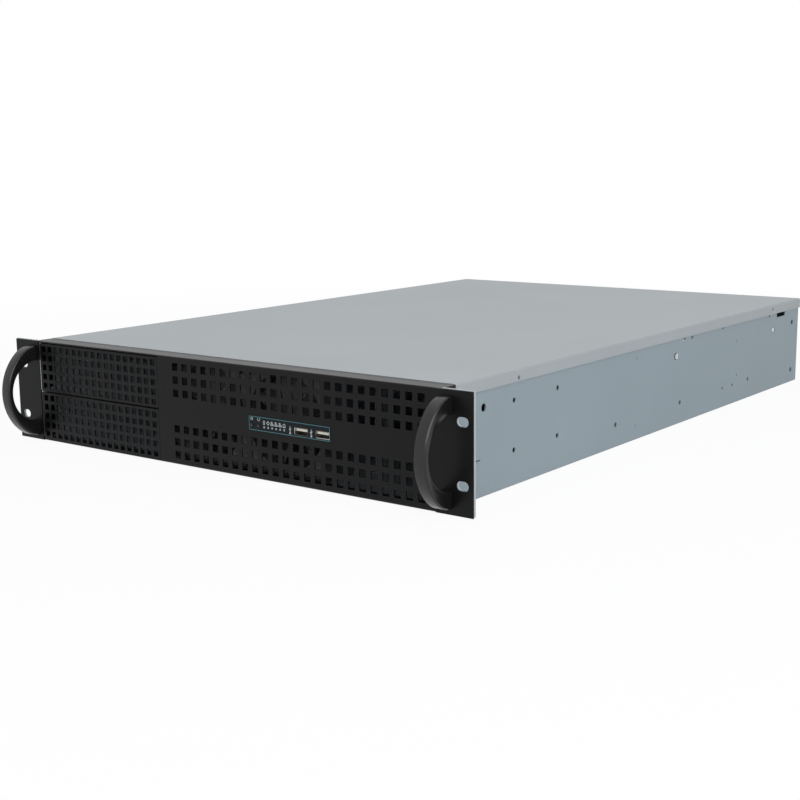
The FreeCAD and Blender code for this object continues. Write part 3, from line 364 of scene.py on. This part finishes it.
def merged_copy(node, name):
    """Closed copy of a node's mesh, selected and active, ready to be carved."""
    piece = frame["nodes"][node].copy()
    piece.data = piece.data.copy()
    bpy.context.collection.objects.link(piece)
    piece.name = name
    bpy.ops.object.select_all(action="DESELECT")
    piece.select_set(True)
    bpy.context.view_layer.objects.active = piece
    bpy.ops.object.mode_set(mode="EDIT")
    bpy.ops.mesh.select_all(action="SELECT")
    bpy.ops.mesh.remove_doubles(threshold=merge_distance)
    bpy.ops.mesh.dissolve_limited(angle_limit=math.radians(flat_angle))
    bpy.ops.object.mode_set(mode="OBJECT")
    return piece


FRONT = (math.pi / 2, 0, 0)


def printed_ring(name, x, z, radius, width, material, sides=28, turned=0.0, opening=0.0):
    """Flat ring on the label: a disc, inset, its middle taken out, open at the top if asked."""
    bpy.ops.mesh.primitive_circle_add(vertices=sides, radius=radius, fill_type="NGON",
                                      location=(x, label_low.y, z), rotation=(math.pi / 2, turned, 0))
    piece = bpy.context.object
    bpy.ops.object.mode_set(mode="EDIT")
    bpy.ops.mesh.select_all(action="SELECT")
    bpy.ops.mesh.inset(thickness=width)
    bpy.ops.mesh.delete(type="FACE")
    if opening:
        delete_where(piece, lambda c: c.y > 0 and abs(c.x) < opening)
    bpy.ops.object.mode_set(mode="OBJECT")
    thicken(piece, line_height)
    return settle(piece, name, material)


def printed_frame(name, x, z, width, height, line, material):
    """Rectangular outline on the label: a plane, inset, its middle taken out."""
    bpy.ops.mesh.primitive_plane_add(size=1, location=(x, label_low.y, z), rotation=FRONT)
    piece = bpy.context.object
    piece.scale = (width, height, 1)
    bpy.ops.object.transform_apply(location=False, rotation=False, scale=True)
    bpy.ops.object.mode_set(mode="EDIT")
    bpy.ops.mesh.select_all(action="SELECT")
    bpy.ops.mesh.bevel(offset=line * frame_corner_share, segments=3, affect="VERTICES")
    bpy.ops.mesh.select_all(action="SELECT")
    bpy.ops.mesh.inset(thickness=line)
    bpy.ops.mesh.delete(type="FACE")
    bpy.ops.object.mode_set(mode="OBJECT")
    thicken(piece, line_height)
    return settle(piece, name, material)


def printed_bar(name, x, z, width, height, material, turned=0.0):
    """Solid printed stroke with rounded corners."""
    bpy.ops.mesh.primitive_plane_add(size=1, location=(x, label_low.y, z),
                                     rotation=(math.pi / 2, turned, 0))
    piece = bpy.context.object
    piece.scale = (width, height, 1)
    bpy.ops.object.transform_apply(location=False, rotation=False, scale=True)
    bpy.ops.object.mode_set(mode="EDIT")
    bpy.ops.mesh.select_all(action="SELECT")
    bpy.ops.mesh.bevel(offset=min(width, height) * bar_corner_share, segments=2, affect="VERTICES")
    bpy.ops.object.mode_set(mode="OBJECT")
    thicken(piece, line_height)
    return settle(piece, name, material)


def join(pieces, name):
    """Joins finished pieces that are one print."""
    bpy.ops.object.select_all(action="DESELECT")
    for piece in pieces:
        piece.select_set(True)
    bpy.context.view_layer.objects.active = pieces[0]
    bpy.ops.object.join()
    whole = bpy.context.object
    whole.name = name
    whole.data.name = name
    whole.select_set(False)
    return whole


# ---------------------------------------------------------------- label print
def lamp_centres():
    """Middles of the lamps, evenly spaced over their node's width."""
    low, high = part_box("led_lamps")
    pitch = (high.x - low.x - lamp_width) / (lamp_count - 1)
    return [low.x + lamp_width / 2 + i * pitch for i in range(lamp_count)]


def key_middle(node):
    low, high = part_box(node)
    return (low.x + high.x) / 2


def label_outline():
    middle = (label_low + label_high) / 2
    size = label_high - label_low
    return printed_frame("label_outline", middle.x, middle.z, size.x - 2 * label_inset,
                         size.z - 2 * label_inset, line_width, ink_blue)


def key_signs():
    """Power sign, an open ring with a stroke, and reset sign, an open ring."""
    power_x = key_middle("power_button")
    reset_x = key_middle("reset_button")
    power_radius, power_gap = 1.25 * MM, 0.45 * MM
    reset_radius, reset_gap = 1.35 * MM, 0.8 * MM
    stroke_rise, stroke_width, stroke_height = 0.75 * MM, 0.34 * MM, 1.2 * MM
    signs = [printed_ring("sign", power_x, sign_z, power_radius, key_line, ink_white, opening=power_gap),
             printed_bar("sign", power_x, sign_z + stroke_rise, stroke_width, stroke_height, ink_white),
             printed_ring("sign", reset_x, sign_z, reset_radius, key_line, ink_white, opening=reset_gap)]
    return join(signs, "key_signs")


def network_sign(x):
    """Two boxes under one, with a stroke between them."""
    z = lamp_sign_z
    boxes = [printed_frame("sign", x + dx * MM, z + dz * MM, width * MM, 1.2 * MM, 0.42 * MM, ink_white)
             for dx, dz, width in ((-0.4, 0.95, 1.7), (-0.9, -1.0, 1.4), (0.9, -1.0, 1.4))]
    return boxes + [printed_bar("sign", x, z - 0.05 * MM, 2.4 * MM, 0.4 * MM, ink_white)]


def lamp_signs():
    """One sign over each lamp: a bulb, a diamond, three networks and a bell."""
    xs = lamp_centres()
    z = lamp_sign_z
    bulb_radius, bulb_rise, bulb_line = 0.95 * MM, 0.7 * MM, 0.34 * MM
    foot_width, foot_height, foot_drop, foot_line = 1.7 * MM, 1.1 * MM, 0.95 * MM, 0.36 * MM
    diamond_radius, diamond_line = 1.75 * MM, 0.45 * MM
    bell_radius, bell_width, bell_drop, bell_line = 1.6 * MM, 3.0 * MM, 1.4 * MM, 0.42 * MM
    signs = [printed_ring("sign", xs[0], z + bulb_rise, bulb_radius, bulb_line, ink_white),
             printed_frame("sign", xs[0], z - foot_drop, foot_width, foot_height, foot_line, ink_white),
             printed_ring("sign", xs[1], z, diamond_radius, diamond_line, ink_white, sides=4)]
    for x in xs[2:5]:
        signs += network_sign(x)
    signs.append(printed_ring("sign", xs[5], z, bell_radius, bell_line, ink_white, sides=5))
    signs.append(printed_bar("sign", xs[5], z - bell_drop, bell_width, bell_line, ink_white))
    return join(signs, "lamp_signs")


def lamp_windows():
    """Small clear lenses in the label in front of the lamps."""
    windows = []
    for x in lamp_centres():
        bpy.ops.mesh.primitive_circle_add(vertices=20, radius=lens_radius, fill_type="NGON",
                                          location=(x, label_low.y, lamp_z), rotation=FRONT)
        piece = bpy.context.object
        bpy.ops.object.mode_set(mode="EDIT")
        bpy.ops.mesh.select_all(action="SELECT")
        bpy.ops.mesh.inset(thickness=lens_rim)
        bpy.ops.transform.translate(value=(0, -line_height, 0))
        bpy.ops.object.mode_set(mode="OBJECT")
        bpy.ops.object.shade_smooth()
        windows.append(settle(piece, "window", lamp_clear))
    return join(windows, "lamp_windows")


def port_signs():
    """Upright sign beside each port: a stroke with a dot below, two arms and a triangle above."""
    stroke_width, stroke_height = 0.7 * MM, 5.0 * MM
    dot_radius, dot_line, dot_drop = 0.9 * MM, 0.6 * MM, 2.2 * MM
    tip_radius, tip_line, tip_rise = 0.75 * MM, 0.5 * MM, 2.3 * MM
    left_arm_rise, right_arm_rise = 0.3 * MM, 0.9 * MM
    arm_width, arm_line, arm_side, arm_turn = 1.4 * MM, 0.5 * MM, 0.6 * MM, 0.7
    signs = []
    for node in ("usb_shell_1", "usb_shell_2"):
        low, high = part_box(node)
        x = low.x - port_sign_gap
        z = (low.z + high.z) / 2
        signs += [printed_bar("sign", x, z, stroke_width, stroke_height, ink_white),
                  printed_ring("sign", x, z - dot_drop, dot_radius, dot_line, ink_white, sides=16),
                  printed_bar("sign", x - arm_side, z + left_arm_rise, arm_width, arm_line, ink_white,
                              arm_turn),
                  printed_bar("sign", x + arm_side, z + right_arm_rise, arm_width, arm_line, ink_white,
                              -arm_turn),
                  printed_ring("sign", x, z + tip_rise, tip_radius, tip_line, ink_white, sides=3)]
    return join(signs, "port_signs")


label_outline()
key_signs()
lamp_signs()
lamp_windows()
port_signs()


# ---------------------------------------------------------------- handles
def smooth_handle(node):
    """Merged copy of a handle with rounded edges."""
    piece = merged_copy(node, node + "_smooth")
    round_edges(piece, handle_rounding, 3, 25)
    settle(piece, node + "_smooth", handle_black)
    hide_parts(node)


smooth_handle("handle_left")
smooth_handle("handle_right")


# ---------------------------------------------------------------- port shells, dark as painted shade with bright rims as painted highlight
def painted_light_shell(node):
    """Shell of a port in dark steel as painted shade, its left wall and lower lip in bright steel as a
    painted highlight.
    """
    low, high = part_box(node)
    piece = merged_copy(node, node + "_rimmed")
    settle(piece, node + "_rimmed", port_steel)
    piece.data.materials.append(painted_highlight_steel)
    for face in piece.data.polygons:
        left = face.center.x < low.x + highlight_strip_width
        lip = face.center.z < low.z + highlight_strip_width and face.normal.y < -0.9
        if left or lip:
            face.material_index = 1
    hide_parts(node)


painted_light_shell("usb_shell_1")
painted_light_shell("usb_shell_2")


# ---------------------------------------------------------------- fan rotors with painted glints
def smooth_rotor(node, body):
    """Rotor with rounded creases and a pale painted highlight on the blades' thin edges."""
    piece = merged_copy(node, node + "_smooth")
    round_edges(piece, rotor_rounding, 2, 50)
    settle(piece, node + "_smooth", rotor_plastic, body)
    piece.data.materials.append(painted_glint)
    points = piece.data.vertices
    for face in piece.data.polygons:
        sides = [(points[a].co - points[b].co).length for a, b in face.edge_keys]
        if 2 * face.area < glint_strip_width * sum(sides) and max(sides) > glint_strip_length:
            face.material_index = 1
    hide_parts(node)


smooth_rotor("fan_rotor_1", "rotor_1")
smooth_rotor("fan_rotor_2", "rotor_2")


# ---------------------------------------------------------------- small marks of the side walls; pits and screw ring black as painted shade
def wall_disc(side, y, z):
    """Low round boss on a side wall, with softened edges."""
    x = side * wall_x + side * boss_height / 2
    bpy.ops.mesh.primitive_cylinder_add(vertices=20, radius=boss_radius, depth=boss_height,
                                        location=(x, y, z), rotation=(0, math.pi / 2, 0))
    piece = bpy.context.object
    round_edges(piece, min(boss_height * 0.45, boss_radius * 0.3), 3)
    return settle(piece, "boss", pan_steel)


def pin_hole(side, y, z, radius):
    """Small pit with a raised rim, its flat disc black as painted shade."""
    bpy.ops.mesh.primitive_circle_add(vertices=20, radius=radius, fill_type="NGON",
                                      location=(side * (wall_x + pit_stand), y, z),
                                      rotation=(0, side * math.pi / 2, 0))
    piece = bpy.context.object
    bpy.ops.object.mode_set(mode="EDIT")
    bpy.ops.mesh.select_all(action="SELECT")
    bpy.ops.mesh.inset(thickness=radius * 0.2)
    bpy.ops.transform.translate(value=(-side * pit_depth, 0, 0))
    bpy.ops.object.mode_set(mode="OBJECT")
    return settle(piece, "pit", painted_shade_black)


def shade_ring(side):
    """Thin ring round the brace's screw, black as painted shade in the gap round its head."""
    low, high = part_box("brace_screws")
    middle = (low + high) / 2
    radius = (high.z - low.z) / 2
    bpy.ops.mesh.primitive_torus_add(major_segments=32, minor_segments=8,
                                     major_radius=radius + shade_ring_gap, minor_radius=shade_ring_radius,
                                     location=(side * wall_x, middle.y, middle.z),
                                     rotation=(0, math.pi / 2, 0))
    piece = bpy.context.object
    bpy.ops.object.shade_smooth()
    return settle(piece, "screw_rim", painted_shade_black)


for side in (-1, 1):
    end = "right" if side > 0 else "left"
    join([pin_hole(side, y * MM, z * MM, r * MM) for y, z, r in pits_at], "pits_" + end)
    join([wall_disc(side, y * MM, z * MM) for y, z in bosses_at], "bosses_" + end)
    rim = shade_ring(side)
    rim.name = "screw_rim_" + end


# ---------------------------------------------------------------- screws with cross recesses
def cross_cutter(place, turn, length, width, depth):
    """Cross-shaped plug: a square with four arms extruded from its sides, then given its depth."""
    bpy.ops.object.select_all(action="DESELECT")
    bpy.ops.mesh.primitive_plane_add(size=width, location=(0, 0, depth / 2))
    cutter = bpy.context.object
    arm = (length - width) / 2
    bpy.ops.object.mode_set(mode="EDIT")
    bpy.ops.mesh.select_mode(type="EDGE")
    for reach in (Vector((arm, 0, 0)), Vector((-arm, 0, 0)), Vector((0, arm, 0)), Vector((0, -arm, 0))):
        bpy.ops.mesh.select_all(action="DESELECT")
        bpy.ops.object.mode_set(mode="OBJECT")
        side = reach.normalized() * width / 2
        for edge in cutter.data.edges:
            ends = [cutter.data.vertices[index].co for index in edge.vertices]
            edge.select = ((ends[0] + ends[1]) / 2 - side).length < width * 0.01
        bpy.ops.object.mode_set(mode="EDIT")
        bpy.ops.mesh.extrude_region_move(TRANSFORM_OT_translate={"value": tuple(reach)})
    bpy.ops.mesh.select_mode(type="FACE")
    bpy.ops.mesh.select_all(action="SELECT")
    bpy.ops.mesh.extrude_region_move(TRANSFORM_OT_translate={"value": (0, 0, -depth)})
    bpy.ops.mesh.select_all(action="SELECT")
    bpy.ops.mesh.normals_make_consistent(inside=False)
    bpy.ops.object.mode_set(mode="OBJECT")
    cutter.rotation_euler = turn
    cutter.location = place
    bpy.ops.object.transform_apply(location=True, rotation=True, scale=True)
    return cutter


def crossed_screws(node, places, turn, length, width, depth, body="case"):
    """Copies a node of screws, presses a cross into each head and softens the rims."""
    name = node + "_crossed"
    cutters = join([cross_cutter(place, turn, length, width, depth) for place in places],
                   name + "_plugs")
    piece = merged_copy(node, name)
    recess = piece.modifiers.new("recess", "BOOLEAN")
    recess.operation = "DIFFERENCE"
    recess.solver = "EXACT"
    recess.object = cutters
    bpy.ops.object.modifier_apply(modifier=recess.name)
    bpy.data.objects.remove(cutters)
    round_edges(piece, screw_rounding, 2, 40)
    settle(piece, name, screw_steel, body)
    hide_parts(node)


SIDEWAYS = (0, math.pi / 2, 0)

low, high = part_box("brace_screws")
middle = (low + high) / 2
crossed_screws("brace_screws", [(x, middle.y, middle.z) for x in (low.x, high.x)], SIDEWAYS,
               length=2.9 * MM, width=0.7 * MM, depth=1.6 * MM)

low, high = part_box("cover_thumbscrews")
middle = (low + high) / 2
radius = (high.z - low.z) / 2
crossed_screws("cover_thumbscrews",
               [(x, high.y, middle.z) for x in (low.x + radius, middle.x, high.x - radius)], FRONT,
               length=4.6 * MM, width=1.0 * MM, depth=4.0 * MM, body="cover")

# The slot screws stand upright; their crosses are cut into the rear side of the heads.
low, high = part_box("slot_screws")
middle = (low + high) / 2
radius = (high.z - low.z) / 2
pitch = (high.x - low.x - 2 * radius) / (slot_screw_count - 1)
crossed_screws("slot_screws",
               [(low.x + radius + pitch * i, high.y, middle.z) for i in range(slot_screw_count)], FRONT,
               length=3.4 * MM, width=0.8 * MM, depth=1.6 * MM)


# ---------------------------------------------------------------- floor, lights and camera
def seen_as_paper(tree):
    """One for rays from the lens and from gloss and glass, nought for the light itself."""
    paths = tree.nodes.new("ShaderNodeLightPath")
    seen = paths.outputs["Is Camera Ray"]
    for kind in ("Is Glossy Ray", "Is Transmission Ray"):
        either = tree.nodes.new("ShaderNodeMath")
        either.operation = "MAXIMUM"
        link(tree, seen, either.inputs[0])
        link(tree, paths.outputs[kind], either.inputs[1])
        seen = either.outputs[0]
    return seen


def stage_material(name, color):
    """Matt surface that the lens sees nearly plain white, whiter still far out."""
    material = bpy.data.materials.new(name)
    material.use_nodes = True
    tree = material.node_tree
    matt = tree.nodes["Principled BSDF"]
    matt.inputs["Base Color"].default_value = (*color, 1)
    matt.inputs["Roughness"].default_value = 0.95
    matt.inputs["Specular IOR Level"].default_value = 0.0
    paper = tree.nodes.new("ShaderNodeEmission")
    place = tree.nodes.new("ShaderNodeTexCoord")
    reach = tree.nodes.new("ShaderNodeVectorMath")
    reach.operation = "LENGTH"
    link(tree, place.outputs["Object"], reach.inputs[0])
    share = tree.nodes.new("ShaderNodeMath")
    share.operation = "MULTIPLY"
    link(tree, seen_as_paper(tree), share.inputs[0])
    link(tree, remap(tree, reach.outputs["Value"], *paper_share, *paper_reach), share.inputs[1])
    blend = tree.nodes.new("ShaderNodeMixShader")
    link(tree, share.outputs[0], blend.inputs["Fac"])
    link(tree, matt.outputs["BSDF"], blend.inputs[1])
    link(tree, paper.outputs["Emission"], blend.inputs[2])
    link(tree, blend.outputs["Shader"], tree.nodes["Material Output"].inputs["Surface"])
    return material


bpy.ops.object.select_all(action="DESELECT")
bpy.ops.mesh.primitive_plane_add(size=floor_size, location=(0, 0.3, cad_low.z - floor_gap))
floor = bpy.context.object
floor.name = "studio_floor"
floor.data.materials.append(stage_material("studio_floor", floor_color))
floor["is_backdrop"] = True
floor.select_set(False)


def soft_light(name, place, aim, size, power):
    data = bpy.data.lights.new(name, "AREA")
    data.shape = "RECTANGLE"
    data.size, data.size_y = size
    data.energy = power
    lamp = bpy.data.objects.new(name, data)
    bpy.context.collection.objects.link(lamp)
    lamp.location = place
    lamp.rotation_mode = "QUATERNION"
    lamp.rotation_quaternion = (Vector(aim) - Vector(place)).to_track_quat("-Z", "Y")
    return lamp


soft_light("key_softbox", (1.35, -0.70, 0.75), aim=(0.1, 0.1, 0), size=(1.4, 1.0), power=13)
soft_light("fill_softbox", (0.45, -1.6, 0.75), aim=(0.0, 0.0, 0), size=(0.9, 0.6), power=4)
soft_light("top_softbox", (0.0, 0.40, 1.9), aim=(0, 0.35, 0), size=(1.8, 1.8), power=5)

world = bpy.data.worlds.new("studio")
bpy.context.scene.world = world
world.use_nodes = True
tree = world.node_tree
paper = tree.nodes["Background"]
paper.inputs["Color"].default_value = (1, 1, 1, 1)
paper.inputs["Strength"].default_value = 1.0
sky = tree.nodes.new("ShaderNodeBackground")
sky.inputs["Color"].default_value = (*sky_color, 1)
sky.inputs["Strength"].default_value = sky_strength
blend = tree.nodes.new("ShaderNodeMixShader")
link(tree, seen_as_paper(tree), blend.inputs["Fac"])
link(tree, sky.outputs["Background"], blend.inputs[1])
link(tree, paper.outputs["Background"], blend.inputs[2])
link(tree, blend.outputs["Shader"], tree.nodes["World Output"].inputs["Surface"])

camera_data = bpy.data.cameras.new("camera")
camera_data.lens = lens_length
camera_data.clip_start = 0.01
camera = bpy.data.objects.new("camera", camera_data)
bpy.context.collection.objects.link(camera)
camera.matrix_world = (Matrix.Translation(camera_place)
                       @ Matrix.Rotation(math.radians(camera_azimuth), 4, "Z")
                       @ Matrix.Rotation(math.radians(90 - camera_elevation), 4, "X")
                       @ Matrix.Rotation(math.radians(camera_roll), 4, "Z"))
bpy.context.scene.camera = camera
bpy.context.scene.view_settings.view_transform = "Standard"

low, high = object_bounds()
